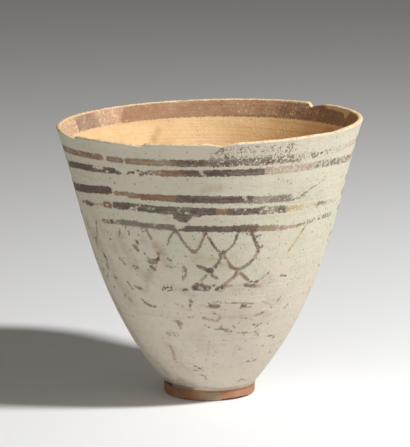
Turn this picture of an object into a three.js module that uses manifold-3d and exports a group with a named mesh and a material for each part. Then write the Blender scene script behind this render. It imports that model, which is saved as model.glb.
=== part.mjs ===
// A footed conical terracotta rhyton: a thrown bowl, a pierced disc foot luted under it and the
// coil of clay pressed into the groove between the two.
// Millimetres, +Z up. The vessel stands on z = 0 with its axis on the z axis. Its worn front faces -Y.

import * as THREE from 'three';
import * as BufferGeometryUtils from 'three/addons/utils/BufferGeometryUtils.js';
import Module from 'manifold-3d';

const wasm = await Module();
wasm.setup();

// The whole vessel
const RIM_DIAMETER = 200;
const HEIGHT = 181.7;
const RIM_RISE = 5.7;              // the handmade rim stands this much higher at +X than at -X

// The bowl
const LIP_THICKNESS = 3.4;         // wall thicknesses are measured level, from outside to inside
const LIP_ROUND = 1.3;             // height of the lip's rounded top
const WALL_AT_FLOOR = 9;
const FLOOR_THICKNESS = 8;
const FLOOR_CORNER = 9;            // height over which the inside wall rounds into the floor
const WALL_FLARE_AT_FOOT = 0.831;  // widening for each millimetre of height, at the foot
const WALL_FLARE_AT_LIP = 0.346;
const FOOT_PULL = 77.6;            // how far the wall keeps its lower flare
const LIP_PULL = 50.7;

// The foot
const FOOT_DIAMETER = 60.4;
const FOOT_HEIGHT = 7;
const FOOT_LOWER_EDGE = 1.6;
const FOOT_UPPER_EDGE = 1;

// The seat of the bowl in the foot
const SEAT_INSET = 0.4;            // the wall's outside stands this far inside the foot's side
const SPIGOT_DIAMETER = 26;
const SPIGOT_LENGTH = 2.4;
const CLEARANCE = 0.3;
const POURING_HOLE = 8;
const HOLE_CHAMFER = 0.8;

// The groove round the seat and the coil in it
const GROOVE_DEPTH = 4.2;
const GROOVE_HEIGHT = 2.6;
const COIL_SETBACK = 0.9;          // the coil's face lies this far behind the foot's side
const COIL_BACK = 1.3;             // and its back this far in front of the groove's bottom

// Damage to the lip. Angles are in degrees from +X, seen from above.
const LIP_CHIPS = [
  { angle: 44.3, depth: 3.4, before: 15, after: 4.2 },
  { angle: 210.5, depth: 2, before: 31, after: 3.2 },
  { angle: 244.9, depth: 2.1, before: 30, after: 1.9 },
  { angle: 274.2, depth: 2.4, before: 9.5, after: 10.5 },
  { angle: 322.7, depth: 1.2, before: 20, after: 20 },
];
const CHIP_OVERCUT = 6;            // how far a cutter reaches past the surface

// A spall off the foot's lower edge. Its upper face slopes by the tilt, in degrees.
const SPALL = { angle: -53, length: 22, depth: 2.6, height: 1.4, tilt: 14 };

// Facets
const ROUND_STEPS = 72;
const WALL_STEPS = 16;
const LIP_STEPS = 4;
const CORNER_STEPS = 3;
const FINE_STEPS = 400;            // for finding a point on the wall's curve
const WELD_DISTANCE = 0.0001;      // corners nearer than this are one corner

const rimRadius = RIM_DIAMETER / 2;
const footRadius = FOOT_DIAMETER / 2;
const seatRadius = footRadius - SEAT_INSET;
const spigotRadius = SPIGOT_DIAMETER / 2;
const holeRadius = POURING_HOLE / 2;
const innerFloor = FOOT_HEIGHT + FLOOR_THICKNESS;
const grooveRadius = seatRadius - GROOVE_DEPTH;
const grooveTop = FOOT_HEIGHT + GROOVE_HEIGHT;

const point = (radius, height) => new THREE.Vector2(radius, height);

// The outside of the wall: one curve from the seat to the lip
function wallCurve() {
  const start = point(seatRadius, FOOT_HEIGHT);
  const end = point(rimRadius, HEIGHT - LIP_ROUND);
  const startWay = point(WALL_FLARE_AT_FOOT, 1).normalize();
  const endWay = point(WALL_FLARE_AT_LIP, 1).normalize();
  const startHandle = start.clone().addScaledVector(startWay, FOOT_PULL);
  const endHandle = end.clone().addScaledVector(endWay, -LIP_PULL);
  return new THREE.CubicBezierCurve(start, startHandle, endHandle, end);
}

// Where the groove over the seat opens through the wall's outside
function grooveMouth(curve) {
  return curve.getPoints(FINE_STEPS).find((p) => p.y >= grooveTop);
}

// The wall's inner face, thinning evenly from the floor to the lip
function insideOfWall(curve, t) {
  const thickness = THREE.MathUtils.lerp(WALL_AT_FLOOR, LIP_THICKNESS, t);
  const outside = curve.getPoint(t);
  return point(outside.x - thickness, outside.y);
}

// A quarter round between two points, drawn towards a corner
function roundedCorner(from, corner, to, steps) {
  return new THREE.QuadraticBezierCurve(from, corner, to).getPoints(steps);
}

// Turns a closed outline of radius and height about the vertical axis
function turned(outline) {
  const closed = [...outline, outline[0].clone()];
  return new THREE.LatheGeometry(closed, ROUND_STEPS).rotateX(Math.PI / 2);
}

// The hand's tilt of the rim, which fades towards the foot
function tiltedRim(geometry) {
  const place = geometry.attributes.position;
  for (let i = 0; i < place.count; i += 1) {
    const up = Math.max(0, (place.getZ(i) - FOOT_HEIGHT) / (HEIGHT - FOOT_HEIGHT));
    const lift = (RIM_RISE / 2) * (place.getX(i) / rimRadius) * up ** 2;
    place.setZ(i, place.getZ(i) + lift);
  }
  return geometry;
}

function solidOf(geometry) {
  const bare = geometry.clone();
  bare.deleteAttribute('normal');
  bare.deleteAttribute('uv');
  const merged = BufferGeometryUtils.mergeVertices(bare, WELD_DISTANCE);
  const vertProperties = new Float32Array(merged.attributes.position.array);
  const triVerts = new Uint32Array(merged.index.array);
  return new wasm.Manifold(new wasm.Mesh({ numProp: 3, vertProperties, triVerts }));
}

function geometryOf(solid) {
  const mesh = solid.getMesh();
  const geometry = new THREE.BufferGeometry();
  geometry.setAttribute('position', new THREE.BufferAttribute(mesh.vertProperties, 3));
  geometry.setIndex(new THREE.BufferAttribute(mesh.triVerts, 1));
  geometry.computeVertexNormals();
  return geometry;
}

// A wedge through the lip, deepest at its angle, with its own slope on either side
function lipChip({ angle, depth, before, after }) {
  const outline = new THREE.Shape([
    point(-before, 0),
    point(0, -depth),
    point(after, 0),
    point(after, depth + CHIP_OVERCUT),
    point(-before, depth + CHIP_OVERCUT),
  ]);
  const reach = LIP_THICKNESS + 2 * CHIP_OVERCUT;
  const turn = THREE.MathUtils.degToRad(angle);
  const lipHeight = HEIGHT + (RIM_RISE / 2) * Math.cos(turn);
  const wedge = new THREE.ExtrudeGeometry(outline, { depth: reach, bevelEnabled: false });
  // The outline's width runs anticlockwise round the rim and its extrusion runs outward
  wedge.rotateX(Math.PI / 2);
  wedge.rotateZ(Math.PI);
  wedge.translate(0, rimRadius - LIP_THICKNESS - CHIP_OVERCUT, lipHeight);
  return wedge.rotateZ(turn - Math.PI / 2);
}

function footSpall({ angle, length, depth, height, tilt }) {
  const block = new THREE.BoxGeometry(length, depth + CHIP_OVERCUT, height + CHIP_OVERCUT);
  block.rotateX(THREE.MathUtils.degToRad(-tilt));
  block.translate(0, footRadius + CHIP_OVERCUT / 2 - depth / 2, (height - CHIP_OVERCUT) / 2);
  return block.rotateZ(THREE.MathUtils.degToRad(angle - 90));
}

function thrownBowl() {
  const curve = wallCurve();
  const lipMiddle = curve.getPoint(1).lerp(insideOfWall(curve, 1), 0.5);
  const outside = curve.getPoints(WALL_STEPS).filter((p) => p.y > grooveTop);
  const lip = Array.from({ length: LIP_STEPS - 1 }, (_, i) => {
    const turn = ((i + 1) / LIP_STEPS) * Math.PI;
    const across = (LIP_THICKNESS / 2) * Math.cos(turn);
    return point(lipMiddle.x + across, lipMiddle.y + LIP_ROUND * Math.sin(turn));
  });
  const cornerTop = innerFloor + FLOOR_CORNER;
  const inside = Array.from({ length: WALL_STEPS + 1 }, (_, i) => insideOfWall(curve, 1 - i / WALL_STEPS))
    .filter((p) => p.y > cornerTop);
  const lowest = inside[inside.length - 1];
  const corner = point(lowest.x - (lowest.y - innerFloor) * WALL_FLARE_AT_FOOT, innerFloor);
  const floorEdge = point(corner.x - FLOOR_CORNER, innerFloor);
  const floorCorner = roundedCorner(lowest, corner, floorEdge, CORNER_STEPS + 1).slice(1);

  const outline = [
    point(grooveRadius, FOOT_HEIGHT),
    grooveMouth(curve),
    ...outside,
    ...lip,
    ...inside,
    ...floorCorner,
    point(holeRadius + HOLE_CHAMFER, innerFloor),
    point(holeRadius, innerFloor - HOLE_CHAMFER),
    point(holeRadius, FOOT_HEIGHT - SPIGOT_LENGTH),
    point(spigotRadius, FOOT_HEIGHT - SPIGOT_LENGTH),
    point(spigotRadius, FOOT_HEIGHT),
  ];
  const bowl = solidOf(tiltedRim(turned(outline)));
  const chipped = LIP_CHIPS.reduce((solid, chip) => solid.subtract(solidOf(lipChip(chip))), bowl);
  return geometryOf(chipped);
}

function discFoot() {
  const socketRadius = spigotRadius + CLEARANCE;
  const socketFloor = FOOT_HEIGHT - SPIGOT_LENGTH - CLEARANCE;
  const lowerEdge = roundedCorner(
    point(footRadius - FOOT_LOWER_EDGE, 0),
    point(footRadius, 0),
    point(footRadius, FOOT_LOWER_EDGE),
    CORNER_STEPS,
  );
  const upperEdge = roundedCorner(
    point(footRadius, FOOT_HEIGHT - FOOT_UPPER_EDGE),
    point(footRadius, FOOT_HEIGHT),
    point(footRadius - FOOT_UPPER_EDGE, FOOT_HEIGHT),
    CORNER_STEPS,
  );
  const outline = [
    point(holeRadius + HOLE_CHAMFER, 0),
    ...lowerEdge,
    ...upperEdge,
    point(socketRadius, FOOT_HEIGHT),
    point(socketRadius, socketFloor),
    point(holeRadius, socketFloor),
    point(holeRadius, HOLE_CHAMFER),
  ];
  return geometryOf(solidOf(turned(outline)).subtract(solidOf(footSpall(SPALL))));
}

// The coil fills the groove under the wall and rests on the foot's upper face
function lutingCoil() {
  const face = footRadius - COIL_SETBACK;
  const mouth = grooveMouth(wallCurve());
  const slope = (mouth.y - FOOT_HEIGHT) / (mouth.x - grooveRadius);
  const gap = CLEARANCE * Math.hypot(1, slope);
  const roof = (radius) => FOOT_HEIGHT + (radius - grooveRadius) * slope - gap;
  const back = grooveRadius + COIL_BACK;
  const bulge = roundedCorner(
    point(face - FOOT_UPPER_EDGE, FOOT_HEIGHT),
    point(face, FOOT_HEIGHT + (roof(face) - FOOT_HEIGHT) / 2),
    point(face - FOOT_UPPER_EDGE, roof(face - FOOT_UPPER_EDGE)),
    CORNER_STEPS,
  );
  return turned([point(back, FOOT_HEIGHT), ...bulge, point(back, roof(back))]);
}

function clay(color, roughness) {
  return new THREE.MeshStandardMaterial({ color, roughness, metalness: 0 });
}

function piece(name, geometry, material) {
  const mesh = new THREE.Mesh(geometry, material);
  mesh.name = name;
  return mesh;
}

const rhyton = new THREE.Group();
rhyton.add(
  piece('thrown_bowl', thrownBowl(), clay(0xc9c3ab, 0.8)),
  piece('disc_foot', discFoot(), clay(0xa87b5e, 0.9)),
  piece('luting_coil', lutingCoil(), clay(0x9c8468, 0.9)),
);

export default rhyton;
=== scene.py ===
import math

import bpy
import numpy as np
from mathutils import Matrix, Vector


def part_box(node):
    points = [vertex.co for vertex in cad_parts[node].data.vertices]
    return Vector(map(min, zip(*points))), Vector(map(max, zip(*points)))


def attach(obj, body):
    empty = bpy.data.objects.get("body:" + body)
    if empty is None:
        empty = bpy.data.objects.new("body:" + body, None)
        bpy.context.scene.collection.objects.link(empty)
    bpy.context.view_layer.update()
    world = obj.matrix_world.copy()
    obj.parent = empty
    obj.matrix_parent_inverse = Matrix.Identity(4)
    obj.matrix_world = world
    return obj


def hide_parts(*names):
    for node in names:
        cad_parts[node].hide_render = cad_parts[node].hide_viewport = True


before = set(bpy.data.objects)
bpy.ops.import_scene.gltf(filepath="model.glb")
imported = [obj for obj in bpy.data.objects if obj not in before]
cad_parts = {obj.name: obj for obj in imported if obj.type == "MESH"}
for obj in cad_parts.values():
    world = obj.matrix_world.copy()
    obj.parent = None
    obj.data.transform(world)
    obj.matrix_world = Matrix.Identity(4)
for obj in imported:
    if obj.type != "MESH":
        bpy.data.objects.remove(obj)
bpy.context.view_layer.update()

# A worn terracotta rhyton: a thrown bowl under pale slip and dark paint, on a bare clay foot.
# Outlines and paint are given in millimetres and degrees. Angles run anticlockwise from +X, seen
# from above, so that the worn front with the scale net is at 270. Meshes are made in metres.

MM = 0.001
IMAGE_WIDTH = 410

# The vessel's sizes
BOWL_LOW, BOWL_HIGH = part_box("thrown_bowl")
FOOT_LOW, FOOT_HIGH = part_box("disc_foot")
RIM_RADIUS = (BOWL_HIGH[0] - BOWL_LOW[0]) / 2 / MM
FOOT_RADIUS = (FOOT_HIGH[0] - FOOT_LOW[0]) / 2 / MM
FOOT_HEIGHT = FOOT_HIGH[2] / MM
RIM_RISE = 5.7
HEIGHT = BOWL_HIGH[2] / MM - RIM_RISE / 2 + 0.05
LIP_THICKNESS = 3.4
LIP_ROUND = 1.3
WALL_AT_FLOOR = 9.0
INNER_FLOOR = FOOT_HEIGHT + 8.0
FLOOR_CORNER = 9.0
FLARE_AT_FOOT = 0.831
FLARE_AT_LIP = 0.346
FOOT_PULL = 77.6
LIP_PULL = 50.7
SEAT_RADIUS = FOOT_RADIUS - 0.4
GROOVE_DEPTH = 4.2
GROOVE_HEIGHT = 2.6
SPIGOT_RADIUS = 13.0
SPIGOT_LENGTH = 2.4
CLEARANCE = 0.3
HOLE_RADIUS = 4.0
HOLE_CHAMFER = 0.8
RED_BAND_FOOT = 169.5

# Chips in the lip: angle, depth, and the length of the slope before and after the deepest point
LIP_CHIPS = [
    (44.3, 3.4, 15.0, 4.2),
    (210.5, 2.0, 31.0, 3.2),
    (244.9, 2.1, 30.0, 1.9),
    (274.2, 2.4, 9.5, 10.5),
    (322.7, 1.2, 20.0, 20.0),
    (221.0, 0.7, 2.0, 2.4),
    (228.0, 0.7, 3.0, 4.0),
    (250.0, 0.6, 1.6, 1.4),
    (262.5, 0.7, 1.5, 2.5),
    (266.0, 0.5, 1.2, 1.2),
    (297.0, 0.5, 5.0, 3.0),
    (100.0, 0.5, 9.0, 6.0),
    (140.0, 0.6, 6.0, 8.0),
    (12.0, 0.6, 7.0, 5.0),
]

# The spall off the foot's lower edge: angle, length, depth and height
SPALL = (-53.0, 22.0, 2.6, 1.5)

# Where the luting clay is missing, so that the groove over the foot shows
OPEN_GROOVE = (199.0, 16.0)


def linear(red, green, blue):
    """A colour written as it looks, from 0 to 255, in the renderer's linear values."""
    def channel(value):
        value /= 255
        return value / 12.92 if value <= 0.04045 else ((value + 0.055) / 1.055) ** 2.4
    return (channel(red), channel(green), channel(blue), 1.0)


SLIP = linear(212, 207, 186)

PIGMENTS = {
    "purple": linear(92, 71, 66),
    "umber": linear(104, 84, 70),
    "russet": linear(136, 98, 74),
    "brown": linear(142, 112, 86),
    "green": linear(96, 88, 74),
    "grey": linear(128, 124, 108),
    "olive": linear(144, 128, 100),
    "ochre": linear(186, 156, 112),
    "rose": linear(176, 144, 128),
    "dusk": linear(124, 106, 98),
}


class Wire:
    """A node's output. Arithmetic on it adds Math nodes."""

    def __init__(self, tree, socket):
        self.tree = tree
        self.socket = socket

    def math(self, operation, *values):
        return self.tree.node("ShaderNodeMath", {"operation": operation}, values)

    def __add__(self, other):
        return self.math("ADD", self, other)

    __radd__ = __add__

    def __sub__(self, other):
        return self.math("SUBTRACT", self, other)

    def __rsub__(self, other):
        return self.math("SUBTRACT", other, self)

    def __mul__(self, other):
        return self.math("MULTIPLY", self, other)

    __rmul__ = __mul__

    def __truediv__(self, other):
        return self.math("DIVIDE", self, other)

    def __mod__(self, other):
        return self.math("FLOORED_MODULO", self, other)


class Tree:
    """Adds nodes to a shader or geometry tree."""

    def __init__(self, tree):
        self.tree = tree

    def node(self, kind, settings=None, values=(), output=0):
        made = self.tree.nodes.new(kind)
        for name, value in (settings or {}).items():
            if name == "stops":
                self.set_stops(made.color_ramp, value)
            else:
                setattr(made, name, value)
        named = values.items() if isinstance(values, dict) else enumerate(values)
        for name, value in named:
            if isinstance(value, Wire):
                self.tree.links.new(value.socket, made.inputs[name])
            elif value is not None:
                made.inputs[name].default_value = value
        return Wire(self, made.outputs[output]) if made.outputs else made

    @staticmethod
    def set_stops(ramp, stops):
        while len(ramp.elements) < len(stops):
            ramp.elements.new(1.0)
        for element, (place, colour) in zip(ramp.elements, stops):
            element.position = place
            element.color = colour

    def parts(self, vector):
        """The three numbers of a vector."""
        made = self.node("ShaderNodeSeparateXYZ", {}, [vector]).socket.node
        return [Wire(self, socket) for socket in made.outputs]

    def mix(self, factor, first, second, blend="MIX"):
        settings = {"data_type": "RGBA", "blend_type": blend}
        return self.node("ShaderNodeMix", settings, {0: factor, 6: first, 7: second}, output=2)

    def smooth(self, value, low, high):
        """0 at low and 1 at high, with an eased step between them."""
        settings = {"interpolation_type": "SMOOTHSTEP"}
        return self.node("ShaderNodeMapRange", settings, [value, low, high, 0.0, 1.0])

    def noise(self, place, scale, detail=4.0, roughness=0.55):
        values = {"Vector": place, "Scale": scale, "Detail": detail, "Roughness": roughness}
        return self.node("ShaderNodeTexNoise", {}, values)

    def cells(self, place, scale):
        """Distance from the nearest of many scattered points."""
        return self.node("ShaderNodeTexVoronoi", {"feature": "F1"}, {"Vector": place, "Scale": scale})

    def scaled(self, place, across, up):
        """A pattern's space, pulled out level or upright."""
        return self.node("ShaderNodeMapping", {}, {"Vector": place, "Scale": (across, across, up)})

    def number(self, name):
        return self.node("ShaderNodeAttribute", {"attribute_name": name}, output=2)

    def colour(self, name):
        return self.node("ShaderNodeAttribute", {"attribute_name": name}, output=0)


# Outlines of the three pieces

def at(radius, height):
    return np.array([float(radius), float(height)])


def wall_point(t):
    """A point on the outside of the wall, from the foot at 0 to the lip at 1."""
    start = at(SEAT_RADIUS, FOOT_HEIGHT)
    end = at(RIM_RADIUS, HEIGHT - LIP_ROUND)
    first = start + FOOT_PULL * at(FLARE_AT_FOOT, 1) / math.hypot(FLARE_AT_FOOT, 1)
    second = end - LIP_PULL * at(FLARE_AT_LIP, 1) / math.hypot(FLARE_AT_LIP, 1)
    s = 1 - t
    return s ** 3 * start + 3 * s * s * t * first + 3 * s * t * t * second + t ** 3 * end


WALL_SHARES = np.linspace(0, 1, 400)
WALL = np.array([wall_point(t) for t in WALL_SHARES])
WALL_RADII = WALL[:, 0]
WALL_HEIGHTS = WALL[:, 1]
WALL_LENGTHS = np.concatenate([[0], np.cumsum(np.hypot(*np.diff(WALL, axis=0).T))])


def outer_wall(height):
    return at(np.interp(height, WALL_HEIGHTS, WALL_RADII), height)


def inner_wall(height):
    share = np.interp(height, WALL_HEIGHTS, WALL_SHARES)
    thickness = WALL_AT_FLOOR + (LIP_THICKNESS - WALL_AT_FLOOR) * share
    return outer_wall(height) - at(thickness, 0)


def rounded(start, corner, end, steps):
    """A quarter round from start to end, without its first point."""
    shares = [i / steps for i in range(1, steps + 1)]
    return [(1 - t) ** 2 * start + 2 * t * (1 - t) * corner + t * t * end for t in shares]


def straight(start, end, steps):
    return [start + (end - start) * i / steps for i in range(1, steps + 1)]


def bowl_outline():
    """Radius and height round the bowl's section, outside first."""
    groove_top = FOOT_HEIGHT + GROOVE_HEIGHT
    painted = 66.0
    lip_low = HEIGHT - LIP_ROUND - 4.5
    lip_foot = HEIGHT - LIP_ROUND
    heights = list(np.linspace(groove_top, painted, 32, endpoint=False))
    heights += list(np.linspace(painted, lip_low, 94, endpoint=False))
    heights += list(np.linspace(lip_low, lip_foot, 11))
    middle = at(RIM_RADIUS - LIP_THICKNESS / 2, lip_foot)
    turns = [math.pi * i / 8 for i in range(1, 8)]
    lip = [middle + at(LIP_THICKNESS / 2 * math.cos(a), LIP_ROUND * math.sin(a)) for a in turns]
    inner_heights = list(np.linspace(lip_foot, RED_BAND_FOOT - 2, 12, endpoint=False))
    inner_heights += list(np.linspace(RED_BAND_FOOT - 2, INNER_FLOOR + FLOOR_CORNER, 30))
    inside = [inner_wall(z) for z in inner_heights]
    lowest = inside[-1]
    corner = at(lowest[0] - (lowest[1] - INNER_FLOOR) * FLARE_AT_FOOT, INNER_FLOOR)
    floor_edge = at(corner[0] - FLOOR_CORNER, INNER_FLOOR)
    hole_mouth = at(HOLE_RADIUS, INNER_FLOOR)
    spigot_end = FOOT_HEIGHT - SPIGOT_LENGTH
    points = [outer_wall(z) for z in heights] + lip + inside
    points += rounded(lowest, corner, floor_edge, 6)
    points += straight(floor_edge, hole_mouth + at(HOLE_CHAMFER, 0), 4)
    points += rounded(points[-1], hole_mouth, hole_mouth - at(0, HOLE_CHAMFER), 3)
    points += [at(HOLE_RADIUS, spigot_end), at(SPIGOT_RADIUS, spigot_end)]
    points += [at(SPIGOT_RADIUS, FOOT_HEIGHT), at(SEAT_RADIUS - GROOVE_DEPTH, FOOT_HEIGHT)]
    points += straight(points[-1], points[0], 3)[:-1]
    return points


def foot_outline():
    """Radius and height round the foot's section, from under the pouring hole outwards."""
    edge = 1.6
    shoulder = 1.2
    socket = SPIGOT_RADIUS + CLEARANCE
    socket_floor = FOOT_HEIGHT - SPIGOT_LENGTH - CLEARANCE
    top = at(FOOT_RADIUS - shoulder, FOOT_HEIGHT)
    points = [at(HOLE_RADIUS + HOLE_CHAMFER, 0)]
    points += straight(points[-1], at(FOOT_RADIUS - 4, 0), 4)
    points += straight(points[-1], at(FOOT_RADIUS - edge, 0), 6)
    points += rounded(points[-1], at(FOOT_RADIUS, 0), at(FOOT_RADIUS, edge), 7)
    points += straight(points[-1], at(FOOT_RADIUS, FOOT_HEIGHT - shoulder), 9)
    points += rounded(points[-1], at(FOOT_RADIUS, FOOT_HEIGHT), top, 5)
    points += straight(points[-1], at(socket, FOOT_HEIGHT), 5)
    points += [at(socket, socket_floor), at(HOLE_RADIUS, socket_floor), at(HOLE_RADIUS, HOLE_CHAMFER)]
    return points


def coil_outline():
    """The luting clay in the groove, pressed out flush and wiped over the join."""
    back = SEAT_RADIUS - GROOVE_DEPTH + 1.3
    foot_edge = at(FOOT_RADIUS + 0.1, FOOT_HEIGHT - 1.1)
    wall_foot = outer_wall(FOOT_HEIGHT + GROOVE_HEIGHT) + at(0.05, 0.25)
    points = [at(back, FOOT_HEIGHT), at(FOOT_RADIUS - 1.6, FOOT_HEIGHT)]
    points += [at(FOOT_RADIUS - 0.7, FOOT_HEIGHT - 0.8)]
    points += rounded(points[-1], at(FOOT_RADIUS - 0.15, FOOT_HEIGHT - 1.5), foot_edge, 3)
    points += rounded(foot_edge, at(FOOT_RADIUS + 0.25, FOOT_HEIGHT + 0.6), wall_foot, 8)
    points += straight(wall_foot, at(back, FOOT_HEIGHT + 0.7), 4)
    return points


# Turning an outline on the wheel

def wheel_tree():
    """Turns the outline that comes in about the vertical axis, with faint throwing ridges."""
    group = bpy.data.node_groups.new("potters_wheel", "GeometryNodeTree")
    face = group.interface
    face.new_socket("Outline", in_out="INPUT", socket_type="NodeSocketGeometry")
    sizes = [("Steps round", "NodeSocketInt", 96), ("Rows", "NodeSocketInt", 10),
             ("Ridge height", "NodeSocketFloat", 0.0), ("Ridge pitch", "NodeSocketFloat", 0.007),
             ("Seed", "NodeSocketFloat", 1.0), ("Finish", "NodeSocketMaterial", None)]
    for name, kind, value in sizes:
        socket = face.new_socket(name, in_out="INPUT", socket_type=kind)
        if value is not None:
            socket.default_value = value
    face.new_socket("Clay", in_out="OUTPUT", socket_type="NodeSocketGeometry")
    tree = Tree(group)
    entry = group.nodes.new("NodeGroupInput")
    given = {socket.name: Wire(tree, socket) for socket in entry.outputs}
    steps = given["Steps round"]
    rows = given["Rows"]
    grid = tree.node("GeometryNodeMeshGrid", {}, [1.0, 1.0, steps + 1, rows + 1])
    index = tree.node("GeometryNodeInputIndex")
    share = index / (rows + 1)
    column = share.math("FLOOR", share)
    row = (index - column * (rows + 1)) % rows
    place = tree.node("GeometryNodeInputPosition")
    settings = {"data_type": "FLOAT_VECTOR", "domain": "POINT"}
    values = {"Geometry": given["Outline"], "Value": place, "Index": row}
    radius, _, height = tree.parts(tree.node("GeometryNodeSampleIndex", settings, values))
    turn = column / steps * math.tau
    across = turn.math("COSINE", turn)
    along = turn.math("SINE", turn)
    seeded = [across * 0.15, along * 0.15, height / given["Ridge pitch"] + given["Seed"]]
    ridge = tree.noise(tree.node("ShaderNodeCombineXYZ", {}, seeded), 1.0, 1.5) - 0.5
    wide = radius + ridge * given["Ridge height"]
    spun = tree.node("ShaderNodeCombineXYZ", {}, [wide * across, wide * along, height])
    shaped = tree.node("GeometryNodeSetPosition", {}, {"Geometry": grid, "Position": spun})
    closed = tree.node("GeometryNodeMergeByDistance", {}, {"Geometry": shaped, "Distance": 1e-6})
    real = tree.node("GeometryNodeRealizeInstances", {}, [closed])
    done = tree.node("GeometryNodeSetMaterial", {}, {"Geometry": real, "Material": given["Finish"]})
    leave = group.nodes.new("NodeGroupOutput")
    group.links.new(done.socket, leave.inputs[0])
    return group


def turned_piece(name, outline, steps, ridge, seed, finish, wheel):
    """A plain mesh object: the outline turned about the axis."""
    flat = bpy.data.meshes.new(name + "_outline")
    flat.from_pydata([(r * MM, 0, z * MM) for r, z in outline], [], [])
    form = bpy.data.objects.new(name + "_form", flat)
    bpy.context.scene.collection.objects.link(form)
    modifier = form.modifiers.new("wheel", "NODES")
    modifier.node_group = wheel
    wanted = {"Steps round": steps, "Rows": len(outline), "Ridge height": ridge * MM,
              "Seed": seed, "Finish": finish}
    for item in wheel.interface.items_tree:
        if item.in_out == "INPUT" and item.name in wanted:
            modifier[item.identifier] = wanted[item.name]
    graph = bpy.context.evaluated_depsgraph_get()
    mesh = bpy.data.meshes.new_from_object(form.evaluated_get(graph))
    mesh.name = name
    form.modifiers.remove(modifier)
    bpy.data.objects.remove(form)
    bpy.data.meshes.remove(flat)
    mesh.materials.clear()
    mesh.materials.append(finish)
    piece = bpy.data.objects.new(name, mesh)
    bpy.context.scene.collection.objects.link(piece)
    face_outwards(mesh)
    return piece


def face_outwards(mesh):
    """Turns a closed mesh right side out, by the sign of its volume."""
    points = vertices_of(mesh)
    mesh.calc_loop_triangles()
    corners = np.empty(len(mesh.loop_triangles) * 3, dtype=np.int64)
    mesh.loop_triangles.foreach_get("vertices", corners)
    a, b, c = (points[corners.reshape(-1, 3)[:, i]] for i in range(3))
    if np.einsum("ij,ij->i", a, np.cross(b, c)).sum() < 0:
        mesh.flip_normals()
    mesh.polygons.foreach_set("use_smooth", np.ones(len(mesh.polygons), dtype=bool))
    mesh.polygons.foreach_set("material_index", np.zeros(len(mesh.polygons), dtype=np.int32))
    mesh.update()


def vertices_of(mesh):
    flat = np.empty(len(mesh.vertices) * 3)
    mesh.vertices.foreach_get("co", flat)
    return flat.reshape(-1, 3) / MM


def put_vertices(mesh, points):
    mesh.vertices.foreach_set("co", (points * MM).ravel())
    mesh.update()


def polar(points):
    return np.hypot(points[:, 0], points[:, 1]), np.degrees(np.arctan2(points[:, 1], points[:, 0]))


def scale_radius(points, factor):
    points[:, 0] *= factor
    points[:, 1] *= factor


def turn_between(angle, middle):
    """Degrees from middle to angle, the short way round."""
    return (angle - middle + 180) % 360 - 180


def eased(value, low, high):
    share = np.clip((value - low) / (high - low), 0, 1)
    return share * share * (3 - 2 * share)


def ragged(angle, seed):
    """An uneven line round the vessel, from a few waves of seeded size and place."""
    rng = np.random.default_rng(seed)
    line = np.zeros_like(angle)
    for wave in (23, 41, 67, 113, 171):
        line += rng.uniform(0.4, 1) * np.sin(np.radians(angle) * wave + rng.uniform(0, math.tau))
    return line / 3


# Wear and hand work on the turned pieces

def chipped_lip(points):
    """Breaks the lip down to its chips, leaving a rough break across the wall."""
    radius, angle = polar(points)
    drop = 0.18 + 0.18 * ragged(angle, 3)
    for middle, depth, before, after in LIP_CHIPS:
        along = np.radians(turn_between(angle, middle)) * RIM_RADIUS
        slope = np.where(along < 0, 1 + along / before, 1 - along / after)
        drop = np.maximum(drop, depth * slope + 0.25 * ragged(angle, int(middle)) * (slope > 0))
    across = (radius - (RIM_RADIUS - LIP_THICKNESS / 2)) / LIP_THICKNESS
    broken = HEIGHT - np.maximum(drop, 0) - 0.35 * np.clip(drop, 0, 1.5) * across
    excess = np.maximum(points[:, 2] - broken, 0)
    scale_radius(points, (radius - FLARE_AT_LIP * excess) / radius)
    points[:, 2] -= excess
    return excess


def tilt_rim(points):
    """The rim's handmade tilt, which fades towards the foot."""
    up = np.clip((points[:, 2] - FOOT_HEIGHT) / (HEIGHT - FOOT_HEIGHT), 0, None)
    points[:, 2] += RIM_RISE / 2 * points[:, 0] / RIM_RADIUS * up ** 2


def spalled_foot(points):
    """A flake lost from the foot's lower edge, and small wear round its side."""
    middle, length, depth, height = SPALL
    radius, angle = polar(points)
    along = np.abs(np.radians(turn_between(angle, middle))) * FOOT_RADIUS
    lost = np.clip(length / 2 + 0.6 - along, 0, 1) * np.clip((radius - FOOT_RADIUS + depth) * 2, 0, 1)
    points[:, 2] = np.maximum(points[:, 2], height * lost * (0.9 + 0.25 * ragged(angle, 9)))
    worn = 0.2 * np.abs(ragged(angle, 5)) * (radius > FOOT_RADIUS - 2)
    scale_radius(points, (radius - worn) / radius)


def opened_groove(points):
    """Draws the luting clay back into the groove where it has fallen out."""
    middle, half = OPEN_GROOVE
    radius, angle = polar(points)
    gone = 1 - eased(np.abs(turn_between(angle, middle)) + 2 * ragged(angle, 8), half - 5, half + 4)
    drawn = np.clip(radius - (FOOT_RADIUS - 2.6), 0, None) * gone
    wiped = 0.12 * ragged(angle, 17) * (radius > FOOT_RADIUS - 1.2)
    scale_radius(points, (radius - drawn + wiped) / radius)
    points[:, 2] = np.maximum(points[:, 2], FOOT_HEIGHT * gone)


# The painter's strokes: pigment, wear from 0 to 1, half width, and the places the brush passed

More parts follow.
